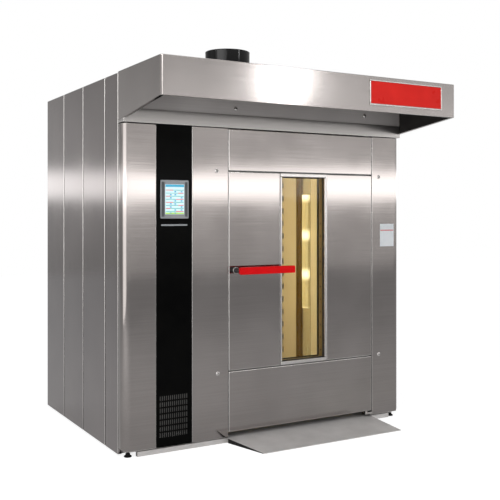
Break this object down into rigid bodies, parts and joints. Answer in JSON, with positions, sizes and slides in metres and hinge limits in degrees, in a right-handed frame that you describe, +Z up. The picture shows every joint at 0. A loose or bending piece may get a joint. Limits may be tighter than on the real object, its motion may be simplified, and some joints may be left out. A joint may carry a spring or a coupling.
{
  "type": "rotating rack oven",
  "caption": "Free-standing bakery oven with a turning rack head in a hot-air chamber, a full-height glazed door, an extraction hood and a loading ramp.",
  "frame": {"origin": "centre of the whole oven's plan box, with hood and casing, at floor level", "axes": "+Z up, +X to the right seen from the front, +Y from the door towards the back"},
  "size_m": [2.1, 2.11, 2.395],
  "materials": {
    "satin_steel": "brushed stainless sheet, satin",
    "bright_steel": "fine brushed stainless, brighter than the casing",
    "lining_steel": "stainless chamber lining, warm from lamp light and heat",
    "lined_insulation": null,
    "insulation": null,
    "black_steel": "black polished collar",
    "black_gloss": "black gloss fascia",
    "dark_paint": "black painted casting",
    "grey_paint": "grey paint, matt",
    "red_plastic": "red moulded grip, satin gloss",
    "black_rubber": "black rubber, matt",
    "silver": "silver painted moulding",
    "screen_glass": "dark glossy screen",
    "clear_glass": "clear toughened glass",
    "lamp_glass": "frosted warm lamp cover"
  },
  "bodies": {
    "oven": {"base_frame": "satin_steel", "left_side_panel_1": "satin_steel", "left_side_panel_2": "satin_steel", "left_side_panel_3": "satin_steel", "left_side_panel_4": "satin_steel", "right_side_panel_1": "satin_steel", "right_side_panel_2": "satin_steel", "right_side_panel_3": "satin_steel", "right_side_panel_4": "satin_steel", "back_panel_1": "satin_steel", "back_panel_2": "satin_steel", "roof_panel_1": "satin_steel", "roof_panel_2": "satin_steel", "left_cabinet_panel": "satin_steel", "right_cabinet_panel": "satin_steel", "door_pillar": "satin_steel", "header_fascia": "satin_steel", "header_strip": "bright_steel", "hood_shell": "bright_steel", "carrier_bearing": "bright_steel", "heater_bank": "bright_steel", "lower_hinge": "bright_steel", "upper_hinge": "bright_steel", "latch_keeper": "bright_steel", "chamber_left_wall": "lining_steel", "chamber_right_wall": "lining_steel", "chamber_front_frame": "lined_insulation", "chamber_floor": "lined_insulation", "chamber_rear_wall": "lined_insulation", "chamber_ceiling": "lined_insulation", "heater_partition": "insulation", "insulated_right_wall": "insulation", "heater_chest": "insulation", "vent_collar": "black_steel", "control_fascia": "black_gloss", "gear_motor": "grey_paint", "fan_motor": "grey_paint", "entry_ramp": "grey_paint", "levelling_foot_1": "black_rubber", "levelling_foot_2": "black_rubber", "levelling_foot_3": "black_rubber", "levelling_foot_4": "black_rubber", "touch_panel": "silver", "touch_screen": "screen_glass", "chamber_lamp": "lamp_glass"},
    "door": {"door_core": "insulation", "door_liner": "bright_steel", "door_top_skin": "satin_steel", "door_bottom_skin": "satin_steel", "door_left_skin": "satin_steel", "door_right_skin": "satin_steel", "window_trim": "bright_steel", "outer_glass": "clear_glass", "inner_glass": "clear_glass", "door_gasket": "black_rubber"},
    "handle": {"handle_hub": "dark_paint", "handle_lever": "red_plastic", "latch_cam": "bright_steel"},
    "rack_head": {"rack_carrier": "bright_steel"},
    "fan": {"fan_impeller": "bright_steel"}
  },
  "joints": [
    {"name": "door_hinge", "type": "hinge", "parent": "oven", "child": "door", "pos_m": [0.759, -0.495, 1], "axis": [0, 0, 1], "range_deg": [0, 115]},
    {"name": "handle_turn", "type": "hinge", "parent": "door", "child": "handle", "pos_m": [-0.29, -0.505, 1.09], "axis": [0, 1, 0], "range_deg": [0, 90]},
    {"name": "rack_turn", "type": "hinge", "parent": "oven", "child": "rack_head", "pos_m": [0.2475, 0.28, 1.9], "axis": [0, 0, 1], "continuous": true},
    {"name": "fan_spin", "type": "hinge", "parent": "oven", "child": "fan", "pos_m": [-0.6453, 0.295, 1.36], "axis": [0, 0, 1], "continuous": true}
  ]
}
